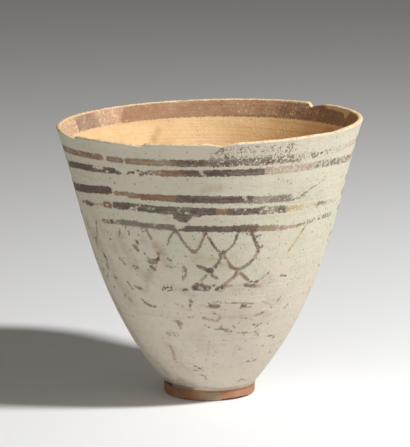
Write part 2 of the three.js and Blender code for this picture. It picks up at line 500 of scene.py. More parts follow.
BANDS = [
    ("russet", 0.40, 2.3, [(188, 168.8), (205, 169.4), (225, 169.9)]),
    ("russet", 0.30, 2.0, [(229, 169.3), (235, 169.5)]),
    ("brown", 0.35, 2.3, [(238, 169.3), (256, 169.2)]),
    ("umber", 0.40, 2.4, [(256, 169.2), (270, 169.0)]),
    ("purple", 0.52, 2.5, [(270, 169.0), (287, 168.6)]),
    ("umber", 0.62, 2.7, [(287, 168.5), (306, 168.3)]),
    ("umber", 0.80, 2.0, [(306, 168.4), (314, 168.6)]),
    ("umber", 0.00, 1.0, [(316.5, 168.7), (317.5, 168.7)]),
    ("olive", 0.85, 2.0, [(318, 168.6), (350, 169.5)]),
    ("umber", 0.88, 3.6, [(272, 175.5), (302, 174.8)]),
    ("purple", 0.12, 2.4, [(194, 158.2), (205, 160.2), (222, 161.2), (230, 161.6)]),
    ("purple", 0.20, 1.3, [(229, 160.9), (233.5, 160.6)]),
    ("umber", 0.25, 0.9, [(237, 161.0), (240, 161.9)]),
    ("umber", 0.30, 0.8, [(241, 163.9), (243.5, 162.0), (246.5, 161.0)]),
    ("umber", 0.35, 0.8, [(242.5, 160.3), (247.5, 163.4)]),
    ("brown", 0.55, 1.8, [(248, 162.2), (252, 162.3)]),
    ("russet", 0.25, 2.3, [(252, 162.3), (259, 162.4)]),
    ("umber", 0.28, 2.4, [(259, 162.4), (268, 162.4)]),
    ("purple", 0.28, 2.4, [(268, 162.4), (278, 162.2), (291, 161.6)]),
    ("rose", 0.62, 2.5, [(292, 161.8), (315, 161.3)]),
    ("umber", 0.66, 2.3, [(316, 161.4), (330, 160.6), (348, 158.3)]),
    ("purple", 0.08, 2.9, [(188, 141.9), (205, 144.4), (218, 146.6), (225.5, 147.7)]),
    ("brown", 0.35, 1.5, [(229, 146.2), (238, 146.8)]),
    ("brown", 0.20, 1.9, [(236, 146.0), (243, 145.6)]),
    ("russet", 0.10, 2.3, [(242, 145.7), (258, 145.7)]),
    ("purple", 0.16, 2.6, [(257, 145.6), (272, 144.9), (287, 144.0)]),
    ("dusk", 0.48, 2.5, [(288.5, 143.4), (304, 142.4)]),
    ("umber", 0.35, 0.6, [(304, 139.8), (312, 143.8), (317, 147.4)]),
    ("umber", 0.45, 0.5, [(306, 140.8), (313, 142.2)]),
    ("umber", 0.60, 0.45, [(318, 147.8), (324, 150.8)]),
    ("umber", 0.60, 1.1, [(199, 134.0), (203, 134.6)]),
    ("umber", 0.30, 1.8, [(205, 134.9), (211, 135.3)]),
    ("ochre", 0.45, 0.9, [(213, 135.8), (219, 136.8)]),
    ("russet", 0.20, 2.3, [(221, 137.2), (224, 137.3)]),
    ("purple", 0.22, 2.6, [(227.5, 137.8), (234.5, 138.1)]),
    ("green", 0.15, 2.6, [(234, 138.6), (250, 137.6)]),
    ("green", 0.40, 2.9, [(250, 137.6), (262, 137.2)]),
    ("purple", 0.14, 2.6, [(261, 137.2), (272, 136.9)]),
    ("brown", 0.05, 2.1, [(272, 136.9), (278, 136.5)]),
    ("purple", 0.34, 2.4, [(277.5, 136.5), (291.5, 135.9)]),
    ("umber", 0.58, 2.6, [(291, 136), (303, 135.4)]),
    ("ochre", 0.55, 2.0, [(303, 135.4), (312, 135.1)]),
    ("ochre", 0.85, 1.6, [(313, 135.0), (321, 134.8)]),
    ("umber", 0.62, 1.3, [(321, 134.9), (329, 134.2)]),
    ("umber", 0.88, 1.2, [(330, 134.3), (340, 133.4)]),
    ("green", 0.30, 2.6, [(256.5, 133.9), (261, 133.4)]),
    ("umber", 0.20, 1.5, [(257.5, 131.6), (260, 131.0)]),
    ("umber", 0.50, 0.5, [(262, 134.2), (266, 133.8)]),
    ("umber", 0.62, 1.6, [(217, 125.2), (228, 126.4)]),
    ("grey", 0.05, 2.1, [(229, 126.7), (238, 126.9)]),
    ("dusk", 0.26, 2.1, [(240, 126.4), (255, 126)]),
    ("purple", 0.45, 1.7, [(255, 125.4), (260, 125.6)]),
    ("purple", 0.12, 2.2, [(260, 125.6), (270, 125.4), (284, 124.9)]),
    ("umber", 0.26, 2.7, [(284, 125.1), (290, 124.7)]),
    ("olive", 0.06, 2.1, [(290, 124.3), (298, 123.7)]),
    ("russet", 0.52, 2.0, [(297.5, 123.6), (303, 123)]),
    ("rose", 0.20, 1.2, [(303, 123), (311, 122.8)]),
    ("umber", 0.60, 0.9, [(311, 123), (316, 123.5)]),
    ("umber", 0.74, 1.4, [(316, 123.6), (325, 125), (337, 124.6)]),
]

NET = [
    ("dusk", 0.15, 0.95, [(254.8, 124.1), (257, 121), (259, 115.6)]),
    ("olive", 0.35, 0.9, [(259, 115.6), (260.6, 112.6)]),
    ("brown", 0.15, 1.2, [(260.6, 112.6), (262, 110.6), (263.2, 109.8), (264.4, 111)]),
    ("brown", 0.20, 0.9, [(264.4, 111), (265.7, 113), (266.6, 116.5), (267.6, 120.6), (268, 123)]),
    ("grey", 0.30, 0.9, [(254.6, 123.7), (252.9, 119.8)]),
    ("grey", 0.60, 0.8, [(252.9, 119.8), (251.2, 114.7)]),
    ("umber", 0.14, 0.95, [(268.2, 122.6), (270, 118.9), (271.6, 114.8), (273.6, 110.9), (275, 109.6)]),
    ("umber", 0.18, 1.1, [(275, 109.6), (276.8, 110)]),
    ("olive", 0.35, 0.9, [(276.8, 110), (279, 111.9), (280.4, 114.4)]),
    ("umber", 0.22, 0.85, [(280.4, 114.4), (281.5, 118), (282.4, 122.4)]),
    ("umber", 0.40, 1.3, [(264.4, 100.7), (266.6, 99.2), (268, 98.2)]),
    ("purple", 0.30, 1.9, [(269.6, 97.1), (270.8, 97.1)]),
    ("umber", 0.42, 1.2, [(271, 97.6), (273, 100.4), (274.3, 103)]),
    ("dusk", 0.32, 1.1, [(274.3, 103), (275, 106.2), (275, 109)]),
    ("brown", 0.55, 1.2, [(276.2, 108.6), (277, 105.6)]),
    ("brown", 0.75, 1.0, [(277, 105.6), (279, 101.4)]),
    ("brown", 0.30, 1.3, [(279, 101.4), (281, 98.8), (283, 97.8), (285, 98)]),
    ("grey", 0.32, 1.4, [(285, 98), (287, 99.5), (289, 101.4)]),
    ("umber", 0.50, 0.8, [(289, 101.4), (290.4, 103.2), (291, 105.6)]),
    ("rose", 0.35, 1.2, [(291.2, 105), (292.2, 108.8)]),
    ("umber", 0.20, 1.3, [(292.2, 108.6), (292.2, 111.6), (291, 114.2)]),
    ("umber", 0.10, 1.2, [(291, 114.2), (289.6, 118), (288.4, 122)]),
    ("umber", 0.20, 0.6, [(289.4, 119.2), (291, 118.9), (292.8, 119.6)]),
    ("umber", 0.15, 0.8, [(292, 111.2), (293.4, 111.2), (294.3, 112.3)]),
    ("umber", 0.40, 0.5, [(284.6, 122.2), (287, 120.6), (288.4, 120.8)]),
    ("brown", 0.30, 1.2, [(283, 96.8), (282.6, 93.8), (281, 91.4)]),
    ("rose", 0.30, 1.3, [(281, 91.4), (279, 89.4), (277.6, 87.6)]),
    ("green", 0.35, 1.5, [(277.6, 87.4), (275.8, 85.6), (273.6, 84.2)]),
    ("rose", 0.30, 1.2, [(277.6, 86), (280.6, 86.4)]),
    ("rose", 0.50, 0.8, [(274, 83.4), (277.6, 83)]),
    ("brown", 0.30, 1.2, [(285, 94.8), (287, 92), (288.8, 90.2)]),
    ("umber", 0.45, 0.8, [(288.8, 90.2), (290.6, 88.4), (292.2, 87.8), (295, 88.4)]),
    ("umber", 0.25, 0.5, [(295, 88.4), (297.4, 90.8), (300, 93.9)]),
    ("dusk", 0.35, 1.3, [(288, 86.2), (290.4, 85.6), (293.6, 85)]),
    ("rose", 0.45, 1.0, [(293.6, 85.2), (296.6, 85)]),
    ("olive", 0.35, 1.2, [(271, 95), (272.2, 93), (273.4, 91.6)]),
    ("olive", 0.55, 1.0, [(268.2, 93.6), (267, 91.8), (266, 90.4)]),
]

MARKS = [
    ("purple", 0.42, 2.2, [(262.6, 85.2), (266, 85.4), (269, 85)]),
    ("purple", 0.30, 1.0, [(263, 88.2), (266.2, 87.6)]),
    ("umber", 0.30, 0.8, [(270.6, 86.8), (272.4, 86.8)]),
    ("umber", 0.05, 0.9, [(256.8, 83), (257.6, 84.2), (258.8, 83.4)]),
    ("umber", 0.45, 1.2, [(245.6, 82.8), (247, 84)]),
    ("umber", 0.15, 0.6, [(248, 84.6), (250.8, 85), (250.9, 83.4), (248.6, 82.2)]),
    ("brown", 0.60, 1.5, [(258, 98.8), (258.2, 94)]),
    ("olive", 0.55, 1.1, [(258, 94), (257, 90.6)]),
    ("brown", 0.50, 1.2, [(251, 104.6), (252, 103.2)]),
    ("umber", 0.40, 0.7, [(250, 99.6), (252, 98.8)]),
    ("umber", 0.10, 0.5, [(255.2, 110.8), (255.4, 110.8)]),
    ("umber", 0.10, 0.4, [(253.2, 107.4), (253.4, 107.4)]),
    ("umber", 0.10, 0.5, [(262.2, 103.2), (262.4, 103)]),
    ("umber", 0.10, 0.5, [(264.4, 90), (264.6, 89.8)]),
    ("umber", 0.10, 0.4, [(254, 99.6), (254.2, 99.6)]),
    ("brown", 0.45, 0.6, [(227.4, 122), (227.2, 119.6), (225.4, 115.6)]),
    ("umber", 0.30, 0.6, [(231, 122.8), (232.4, 120.8), (232.4, 119.2)]),
    ("umber", 0.15, 1.2, [(236, 114.4), (236.4, 113.8)]),
    ("brown", 0.50, 1.4, [(234, 111.6), (235.6, 109)]),
    ("umber", 0.20, 0.8, [(219, 113.4), (219.6, 113)]),
    ("brown", 0.45, 0.9, [(241.6, 123.6), (243, 120.2), (244, 116.4)]),
    ("umber", 0.45, 0.6, [(238.8, 124), (240.2, 121.8)]),
    ("dusk", 0.42, 2.0, [(241.2, 102.2), (244.2, 102)]),
    ("purple", 0.45, 1.2, [(244.2, 102), (246, 104.2)]),
    ("umber", 0.30, 1.1, [(241.4, 98.4), (242, 98)]),
    ("brown", 0.30, 1.1, [(243, 96.8), (243.6, 96)]),
    ("umber", 0.45, 0.5, [(239, 107.2), (240.8, 104.6), (242, 101.8)]),
    ("russet", 0.45, 1.0, [(246, 108), (246.4, 106.6)]),
    ("olive", 0.50, 1.6, [(231.6, 96.2), (233, 96)]),
    ("umber", 0.50, 0.8, [(205, 111), (204.2, 106.8), (204, 103.6)]),
    ("dusk", 0.60, 1.5, [(209.6, 100), (210.6, 97), (209.4, 92)]),
    ("rose", 0.45, 1.1, [(222.8, 100.6), (226, 97.4)]),
    ("olive", 0.45, 0.9, [(224, 84.8), (225, 82.6), (226.2, 79.8)]),
    ("dusk", 0.45, 0.8, [(229, 82.8), (231, 81), (233, 80.6), (232, 83)]),
    ("umber", 0.32, 0.9, [(230.8, 74), (233, 71.4), (236, 70.1), (239.4, 69.7)]),
    ("umber", 0.35, 0.8, [(208.6, 77.8), (209.4, 77.8)]),
    ("umber", 0.45, 0.8, [(217.6, 74), (218.6, 73.6)]),
    ("dusk", 0.45, 0.8, [(220.4, 72), (221.6, 71.2)]),
    ("olive", 0.60, 1.4, [(213.6, 85.6), (215, 85.4)]),
    ("brown", 0.10, 0.55, [(269, 74.5), (273, 75), (281, 74.5), (287, 73.8), (296, 72.4)]),
    ("rose", 0.30, 0.5, [(265.6, 73), (268.6, 71.8), (272, 70.6), (279, 69.8)]),
    ("dusk", 0.42, 1.1, [(270, 72.4), (275, 72)]),
    ("umber", 0.10, 0.8, [(287.4, 72.4), (289.6, 72)]),
    ("umber", 0.55, 0.6, [(286.6, 70.6), (293, 70.2)]),
    ("brown", 0.50, 0.9, [(260, 76.6), (261, 74.6)]),
    ("umber", 0.15, 0.7, [(259.6, 73.4), (259.8, 72)]),
    ("rose", 0.20, 0.45, [(250.6, 73.8), (255, 72), (258, 71)]),
    ("umber", 0.15, 0.5, [(255, 70), (255.4, 69.9)]),
    ("umber", 0.10, 0.45, [(259, 69.8), (259.4, 69.7)]),
    ("brown", 0.15, 0.5, [(255.6, 65.7), (258, 64.4), (261, 63.7)]),
    ("rose", 0.62, 1.4, [(267, 63.9), (271, 62.4), (275, 61.6)]),
    ("brown", 0.50, 0.6, [(272, 67.6), (274.6, 66.2), (276.4, 64.4)]),
    ("olive", 0.25, 0.6, [(266.4, 58.8), (271, 56.6), (276, 55.4), (281, 53.7), (289, 52.4), (301, 50.8)]),
    ("grey", 0.25, 1.1, [(277, 57), (280, 54.9), (283, 54)]),
    ("rose", 0.35, 0.9, [(296.6, 63.6), (300, 64.8), (302.4, 65.6)]),
    ("umber", 0.30, 0.6, [(300, 66.6), (301.6, 66.2)]),
    ("dusk", 0.25, 1.0, [(288.4, 63.4), (291.6, 63)]),
    ("umber", 0.35, 0.7, [(297, 57.6), (299.6, 56), (303, 57.2)]),
    ("olive", 0.35, 0.5, [(299, 52.6), (303, 50), (302.6, 47.6), (299, 46.8)]),
    ("grey", 0.35, 0.9, [(312, 47.2), (319, 44.8)]),
    ("olive", 0.40, 0.7, [(248, 61.4), (251, 59.6), (252.4, 55.4)]),
    ("olive", 0.45, 1.2, [(250.6, 61), (253.6, 58.6)]),
    ("olive", 0.70, 1.6, [(243, 50.8), (249, 50.8)]),
    ("rose", 0.20, 0.8, [(242, 42.2), (242.4, 36.6), (241.4, 31)]),
    ("grey", 0.30, 0.5, [(299.6, 40.4), (304, 41), (312, 39.4)]),
    ("grey", 0.35, 0.4, [(291, 39.8), (298, 38.6)]),
    ("olive", 0.40, 0.6, [(321, 31.4), (324, 33.2), (330, 30.8)]),
    ("grey", 0.25, 0.9, [(302.4, 29), (308, 28.2), (311, 29.6)]),
    ("grey", 0.20, 0.7, [(275.4, 29.6), (276.6, 29.4)]),
    ("dusk", 0.15, 0.8, [(252.4, 28), (256.4, 28.2), (261, 25.6), (264.4, 24.6)]),
    ("dusk", 0.30, 0.6, [(256, 23.4), (260, 24.6)]),
    ("dusk", 0.30, 0.7, [(261, 21), (265, 19.4), (267, 16.6)]),
    ("olive", 0.35, 0.6, [(302.6, 12.4), (305, 15.6), (312, 13)]),
    ("ochre", 0.30, 0.8, [(315.4, 119.4), (312.6, 113.4), (309, 106.6)]),
    ("umber", 0.30, 0.5, [(316.4, 121), (315, 118)]),
    ("dusk", 0.50, 0.8, [(307, 90.4), (311, 89.4)]),
    ("umber", 0.50, 0.6, [(309.6, 71.6), (311.4, 75)]),
    ("rose", 0.50, 0.6, [(299, 73.6), (303, 71.8), (307, 68.6)]),
    ("olive", 0.50, 0.7, [(317, 65.4), (319.4, 68)]),
]

# Paint that has flaked off inside a stroke
FLAKES = [
    (0.9, [(221, 162.2), (224.5, 162.4)]),
    (0.5, [(218.6, 161.6), (220.2, 163)]),
    (0.6, [(226.4, 160.6), (228, 160.0)]),
    (0.8, [(235.8, 137.4), (238.4, 136.6)]),
    (0.5, [(238.6, 138.4), (240.4, 139.2)]),
    (0.4, [(244, 137.9), (247, 138.3)]),
    (0.4, [(257, 137.8), (258.2, 138.2)]),
    (0.4, [(260.2, 136.2), (261.4, 136.4)]),
    (0.9, [(255.6, 126.2), (258.8, 126.5)]),
    (0.6, [(283.4, 145), (285.4, 143.8)]),
    (0.5, [(266, 163.6), (268.4, 161)]),
    (0.5, [(264.8, 85.2), (266.6, 84.8)]),
    (0.7, [(248.4, 83.6), (249.4, 83.6)]),
    (0.7, [(222.2, 137.2), (222.8, 137.3)]),
]

# The brown-red band inside the lip
INNER_BAND = [
    ("rose", 0.70, 5.8, [(190, 176), (160, 176)]),
    ("dusk", 0.42, 5.4, [(158, 175.6), (142, 175.4)]),
    ("rose", 0.55, 5.6, [(142, 175.6), (129, 175.8)]),
    ("russet", 0.22, 5.6, [(129, 175.4), (108, 175.4)]),
    ("brown", 0.22, 5.6, [(108, 175.4), (84, 175.4)]),
    ("brown", 0.38, 5.6, [(84, 175.4), (60, 175.5)]),
    ("umber", 0.42, 5.4, [(60, 175.4), (36, 175.3)]),
    ("umber", 0.20, 4.6, [(36, 174.8), (22, 174.4)]),
    ("umber", 0.40, 3.0, [(22, 173.4), (14, 173)]),
    ("russet", 0.30, 5.4, [(14, 175.2), (-170, 175.4)]),
    ("umber", 0.20, 0.9, [(84, 170.6), (60, 170.7), (40, 170.6), (22, 170.9)]),
    ("umber", 0.35, 1.2, [(80, 173.8), (70, 173.6), (52, 174)]),
]

# Soft stains in the slip: colour, strength, reach, and a path
STAINS = [
    ("ochre", 0.40, 5.0, [(263, 106.6), (267, 105.2), (272, 105.4)]),
    ("ochre", 0.55, 4.5, [(276, 100.6), (278.4, 98)]),
    ("ochre", 0.30, 6.0, [(281, 108), (284, 104)]),
    ("ochre", 0.35, 5.0, [(268, 151.6), (274, 152.6)]),
    ("ochre", 0.25, 7.0, [(210, 128), (222, 106)]),
    ("brown", 0.22, 9.0, [(206, 112), (214, 88), (222, 70)]),
    ("brown", 0.25, 7.0, [(226, 118), (230, 104), (236, 92)]),
    ("brown", 0.24, 6.0, [(240, 116), (247, 112), (250, 100)]),
    ("ochre", 0.35, 5.0, [(246, 112), (248, 106)]),
    ("brown", 0.30, 5.0, [(243, 100), (238, 88), (234, 80)]),
    ("olive", 0.30, 4.0, [(252, 84), (262, 80)]),
    ("rose", 0.30, 8.0, [(240, 44), (244, 30), (252, 22)]),
    ("rose", 0.22, 14.0, [(286, 66), (300, 60), (308, 72)]),
    ("rose", 0.25, 8.0, [(284, 84), (300, 88)]),
    ("rose", 0.20, 9.0, [(262, 50), (270, 40)]),
    ("brown", 0.55, 6.0, [(214, 12), (226, 11), (240, 10)]),
    ("umber", 0.50, 3.5, [(206, 10.5), (222, 9.5), (234, 9.5)]),
    ("brown", 0.30, 6.0, [(216, 26), (224, 18)]),
    ("brown", 0.35, 5.0, [(238, 15), (252, 11)]),
    ("umber", 0.30, 3.0, [(250, 10), (262, 9.6), (275, 9.6)]),
    ("brown", 0.30, 5.0, [(199, 70), (204, 50), (210, 30)]),
    ("olive", 0.18, 12.0, [(300, 150), (320, 140)]),
]

# Stains on the bare clay inside
INNER_STAINS = [
    ("brown", 0.45, 4.5, [(113, 161.6), (116, 156)]),
    ("brown", 0.30, 6.0, [(119, 152), (108, 150)]),
    ("ochre", 0.50, 12.0, [(60, 150), (40, 160), (20, 164)]),
    ("brown", 0.30, 6.0, [(30, 166), (16, 166)]),
]


def back_strokes():
    """The bands and the net where the photograph doesn't reach: worn strokes of uneven length."""
    rng = np.random.default_rng(21)
    pigments = ["purple", "umber", "russet", "dusk", "brown", "umber"]
    strokes = []
    for height, half in ((169.2, 2.3), (161, 2.3), (144.5, 2.6), (136, 2.6), (125, 2.1)):
        angle = -10.0
        while angle < 188:
            end = min(angle + rng.uniform(10, 34), 190)
            rise = rng.uniform(-0.4, 0.4)
            pigment = pigments[int(rng.integers(len(pigments)))]
            wear = rng.uniform(0.1, 0.7)
            width = half * rng.uniform(0.8, 1.05)
            strokes.append((pigment, wear, width, [(angle, height + rise), (end, height - rise)]))
            angle = end + rng.uniform(-1, 3)
    count = 27
    pitch = 360 / count
    row_height = 13.2
    for row in range(3):
        for number in range(count):
            start = (number + row / 2) * pitch - 16
            middle = start + pitch / 2
            if not -20 < middle < 206 or rng.uniform() < 0.3:
                continue
            top = 123 - row * row_height
            skew = rng.uniform(-0.12, 0.12)
            path = []
            for step in range(9):
                share = step / 8
                across = share + skew * share * (1 - share) * 4
                sag = row_height * (1 - abs(2 * share - 1) ** 2.4)
                path.append((start + pitch * across, top - sag))
            pigment = ("brown", "umber", "olive", "dusk")[int(rng.integers(4))]
            first = int(rng.integers(3))
            last = len(path) - int(rng.integers(3))
            strokes.append((pigment, rng.uniform(0.15, 0.8), 0.9, path[first:last]))
    for _ in range(110):
        angle = rng.uniform(-22, 204)
        height = rng.uniform(16, 118)
        long = rng.uniform(0.5, 5)
        pigment = ("umber", "olive", "dusk", "brown", "grey")[int(rng.integers(5))]
        path = [(angle, height), (angle + long, height + rng.uniform(-1.5, 1.5))]
        strokes.append((pigment, rng.uniform(0.2, 0.6), rng.uniform(0.4, 1.0), path))
    return strokes


def distance_to(path, half, angle, length, radius):
    """How far each vertex lies outside a stroke, in millimetres, and which vertices are near it."""
    reach = half + 4
    for (angle0, height0), (angle1, height1) in zip(path, path[1:]):
        length0, length1 = np.interp([height0, height1], WALL_HEIGHTS, WALL_LENGTHS)
        span = angle1 - angle0
        across = turn_between(angle, angle0 + span / 2) + span / 2
        margin = np.degrees(reach / radius)
        near = (across > min(span, 0) - margin) & (across < max(span, 0) + margin)
        near &= (length > min(length0, length1) - reach) & (length < max(length0, length1) + reach)
        if not near.any():
            continue
        scale = np.radians(1) * radius[near]
        u = across[near] * scale
        w = length[near] - length0
        du = span * scale
        dw = length1 - length0
        t = np.clip((u * du + w * dw) / (du * du + dw * dw + 1e-9), 0, 1)
        yield near, np.hypot(u - t * du, w - t * dw) - half


class PaintedWall:
    """Lays strokes, flakes and stains on a mesh's vertices, and keeps them as attributes."""

    def __init__(self, points):
        self.radius, self.angle = polar(points)
        self.length = np.interp(points[:, 2], WALL_HEIGHTS, WALL_LENGTHS)
        self.edge = np.full(len(points), 6.0)
        self.wear = np.full(len(points), 0.5)
        self.pigment = np.tile(np.array(PIGMENTS["brown"]), (len(points), 1))
        self.tint = np.ones((len(points), 4))

    def reach(self, path, half, side):
        for near, distance in distance_to(path, half, self.angle, self.length, self.radius):
            yield np.flatnonzero(near & side), distance[side[near]]

    def lay(self, strokes, side):
        for pigment, wear, half, path in strokes:
            for found, distance in self.reach(path, half, side):
                nearer = distance < self.edge[found]
                chosen = found[nearer]
                self.edge[chosen] = distance[nearer]
                self.wear[chosen] = wear
                self.pigment[chosen] = PIGMENTS[pigment]

    def flake(self, flakes, side):
        for half, path in flakes:
            for found, distance in self.reach(path, half, side):
                self.edge[found] = np.maximum(self.edge[found], -distance)

    def stain(self, stains, side):
        for pigment, strength, reach, path in stains:
            least = np.full(len(self.edge), 99.0)
            for found, distance in self.reach(path, reach, side):
                least[found] = np.minimum(least[found], distance)
            share = strength * eased(-least, 0, reach)
            tint = np.array(PIGMENTS[pigment]) / np.array(SLIP)
            self.tint = self.tint * (1 - share[:, None] + share[:, None] * tint)

    def store(self, mesh):
        store_numbers(mesh, "paint_edge", self.edge)
        store_numbers(mesh, "paint_wear", self.wear)
        store_colours(mesh, "pigment", self.pigment)
        store_colours(mesh, "stain", self.tint)


def store_numbers(mesh, name, values):
    layer = mesh.attributes.new(name, "FLOAT", "POINT")
    layer.data.foreach_set("value", np.asarray(values, dtype=np.float32))


def store_colours(mesh, name, values):
    layer = mesh.attributes.new(name, "FLOAT_COLOR", "POINT")
    layer.data.foreach_set("color", np.asarray(values, dtype=np.float32).ravel())


# Finishes

def start_material(name):
    material = bpy.data.materials.new(name)
    material.use_nodes = True
    material.node_tree.nodes.clear()
    tree = Tree(material.node_tree)
    return material, tree, tree.node("ShaderNodeTexCoord", {}, (), output=3)


def end_material(tree, colour, roughness, relief, depth):
    """A matte clay with its colour, its roughness and a relief of the given depth."""
    bump = tree.node("ShaderNodeBump", {}, {"Strength": 1.0, "Distance": depth * MM, "Height": relief})
    values = {"Base Color": colour, "Roughness": roughness, "Normal": bump, "Specular IOR Level": 0.25}
    surface = tree.node("ShaderNodeBsdfPrincipled", {}, values)
    tree.node("ShaderNodeOutputMaterial", {}, {"Surface": surface})


def slipped_clay():
    """Pale slip with worn paint outside, bare clay with a painted band inside."""
    material, tree, place = start_material("slipped_clay")
    cloud = tree.noise(place, 24.0, 4.0, 0.6)
    patch = tree.noise(place, 80.0, 5.0, 0.62)
    blotch = tree.noise(place, 210.0, 4.0, 0.6)
    fleck = tree.noise(place, 520.0, 3.0, 0.6)
    fine = tree.noise(place, 1150.0, 3.0, 0.65)
    wheel = tree.noise(tree.scaled(place, 9.0, 620.0), 1.0, 3.0, 0.6)
    brush = tree.noise(tree.scaled(place, 60.0, 1500.0), 1.0, 3.0, 0.6)
    specks = tree.cells(place, 260.0)
    inside = tree.number("inside")
    height = tree.number("height")

    slip = tree.mix(tree.smooth(cloud, 0.36, 0.64), linear(206, 203, 182), linear(214, 204, 186))
    slip = tree.mix(tree.smooth(patch, 0.48, 0.7) * 0.45, slip, linear(198, 198, 174))
    # Lighter, pinker slip low on the wall: partly the slip's own pinker tone, partly painted bounce light
    # from the floor.
    low = tree.smooth(height + (patch - 0.5) * 60, 118, 62)
    slip = tree.mix(low * 0.55, slip, linear(220, 207, 192))
    slip = tree.mix(tree.smooth(blotch * 0.6 + fleck * 0.4, 0.52, 0.66) * 0.30, slip, linear(176, 160, 136))
    slip = tree.mix(tree.smooth(fine * 0.6 + fleck * 0.4, 0.54, 0.66) * 0.35, slip, linear(232, 228, 210))
    slip = tree.mix(tree.smooth(wheel * 0.6 + fine * 0.4, 0.54, 0.68) * 0.30, slip, linear(170, 150, 124))
    stained = tree.mix(1.0, slip, tree.colour("stain"), "MULTIPLY")
    slip = tree.mix(tree.smooth(blotch * 0.5 + patch * 0.5, 0.36, 0.56) * 0.8 + 0.2, slip, stained)
    pits = tree.smooth(specks + (blotch - 0.5) * 0.5, 0.16, 0.06)
    slip = tree.mix(pits * 0.55, slip, linear(126, 108, 88))

    edge = tree.number("paint_edge") + (fleck - 0.5) * 2.6 + (fine - 0.5) * 1.6
    wear = tree.number("paint_wear")
    loss_field = fleck * 0.45 + fine * 0.35 + blotch * 0.2
    threshold = 0.66 - wear * 0.22
    lost = tree.smooth(loss_field - threshold, -0.02, 0.03)
    solid = (1 - lost) * (1 - wear * tree.smooth(patch, 0.4, 0.7) * 0.5)
    cover = tree.smooth(edge, 0.35, -0.5) * solid
    pigment = tree.colour("pigment")
    worn_pigment = tree.mix(0.45, pigment, slip)
    thin = tree.smooth(brush * 0.5 + blotch * 0.3 + fine * 0.2, 0.44, 0.6)
    pigment = tree.mix(thin * (wear * 0.8 + 0.25), pigment, worn_pigment)
    painted = tree.mix(cover * 0.97, slip, pigment)

    bare = tree.mix(tree.smooth(cloud, 0.35, 0.65), linear(234, 204, 160), linear(222, 186, 138))
    bare = tree.mix(tree.smooth(wheel, 0.46, 0.66) * 0.35, bare, linear(204, 164, 116))
    bare = tree.mix(tree.smooth(fine, 0.55, 0.7) * 0.25, bare, linear(240, 218, 180))
    bare = tree.mix(1.0, bare, tree.colour("stain"), "MULTIPLY")
    in_band = tree.smooth(height, RED_BAND_FOOT - 1, RED_BAND_FOOT + 1)
    band_clay = tree.mix(in_band, bare, linear(222, 190, 156))
    lining = tree.mix(cover * 0.9, band_clay, tree.mix(0.25, pigment, linear(178, 128, 92)))
    colour = tree.mix(inside, painted, lining)
    lip_clay = tree.mix(tree.smooth(fleck, 0.4, 0.6), linear(236, 214, 176), linear(210, 178, 138))
    rubbed = tree.smooth(tree.number("lip_wear") + (blotch - 0.5) * 1.2, 0.4, 0.6)
    colour = tree.mix(rubbed, colour, lip_clay)

    roughness = 0.78 + (fine - 0.5) * 0.25 - cover * 0.06
    relief = blotch * 0.6 + fleck * 0.5 + fine * 0.35 + wheel * 0.25 + cover * 0.08 - pits * 0.5
    end_material(tree, colour, roughness, relief, 0.55)
    return material


def clay_relief(tree, place):
    """The noises that the bare clays share: clouds, fine grain and wheel lines."""
    cloud = tree.noise(place, 80.0, 4.0, 0.6)
    fine = tree.noise(place, 900.0, 3.0, 0.62)
    wheel = tree.noise(tree.scaled(place, 14.0, 900.0), 1.0, 3.0, 0.6)
    return cloud, fine, wheel


def bare_clay():
    """Unslipped fired clay, browner and darker along the join on the left, with slip wiped thinly over it."""
    material, tree, place = start_material("bare_clay")
    cloud, fine, wheel = clay_relief(tree, place)
    clay = tree.mix(tree.smooth(cloud, 0.35, 0.65), linear(186, 140, 112), linear(170, 122, 92))
    clay = tree.mix(tree.smooth(wheel, 0.45, 0.72) * 0.4, clay, linear(146, 104, 78))
    # Darker, browner clay along the join on the left, most at the top of the foot.
    clay = tree.mix(tree.number("dirt") * 0.7, clay, linear(128, 96, 68))
    wiped = tree.smooth(tree.number("wiped") + (cloud - 0.5) * 1.2 + (fine - 0.5) * 0.6, 0.4, 0.62)
    clay = tree.mix(wiped * 0.75, clay, linear(168, 150, 126))
    clay = tree.mix(tree.smooth(fine, 0.58, 0.7) * 0.5, clay, linear(112, 82, 62))
    clay = tree.mix(tree.smooth(1 - fine, 0.6, 0.72) * 0.4, clay, linear(206, 172, 146))
    end_material(tree, clay, 0.84 + (fine - 0.5) * 0.2, cloud * 0.5 + fine * 0.5 + wheel * 0.4, 0.6)
    return material


def smeared_clay():
    """Luting clay wiped over the join: slip colour above, passing into the foot's bare clay."""
    material, tree, place = start_material("smeared_clay")
    cloud, fine, wheel = clay_relief(tree, place)
    slip = tree.mix(tree.smooth(cloud, 0.35, 0.65), linear(206, 196, 176), linear(192, 180, 158))
    clay = tree.mix(tree.smooth(cloud, 0.4, 0.6), linear(176, 130, 102), linear(150, 112, 86))
    line = tree.number("height") + (cloud - 0.5) * 2.6 + (fine - 0.5) * 1.2
    colour = tree.mix(tree.smooth(line, FOOT_HEIGHT - 0.1, FOOT_HEIGHT + 0.9), clay, slip)
    # Darker along the join on the left, fading towards the front.
    darkened_join = tree.smooth(tree.number("dirt") + (cloud - 0.5) * 0.8, 0.35, 0.75)
    colour = tree.mix(darkened_join * 0.85, colour, linear(128, 104, 80))
    colour = tree.mix(tree.smooth(fine, 0.58, 0.7) * 0.45, colour, linear(110, 88, 68))
    end_material(tree, colour, 0.85 + (fine - 0.5) * 0.15, cloud * 0.5 + fine * 0.5 + wheel * 0.3, 0.6)
    return material


# The pieces

def finish_piece(piece, slot, *nodes):
    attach(piece, "root")
    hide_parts(*nodes)


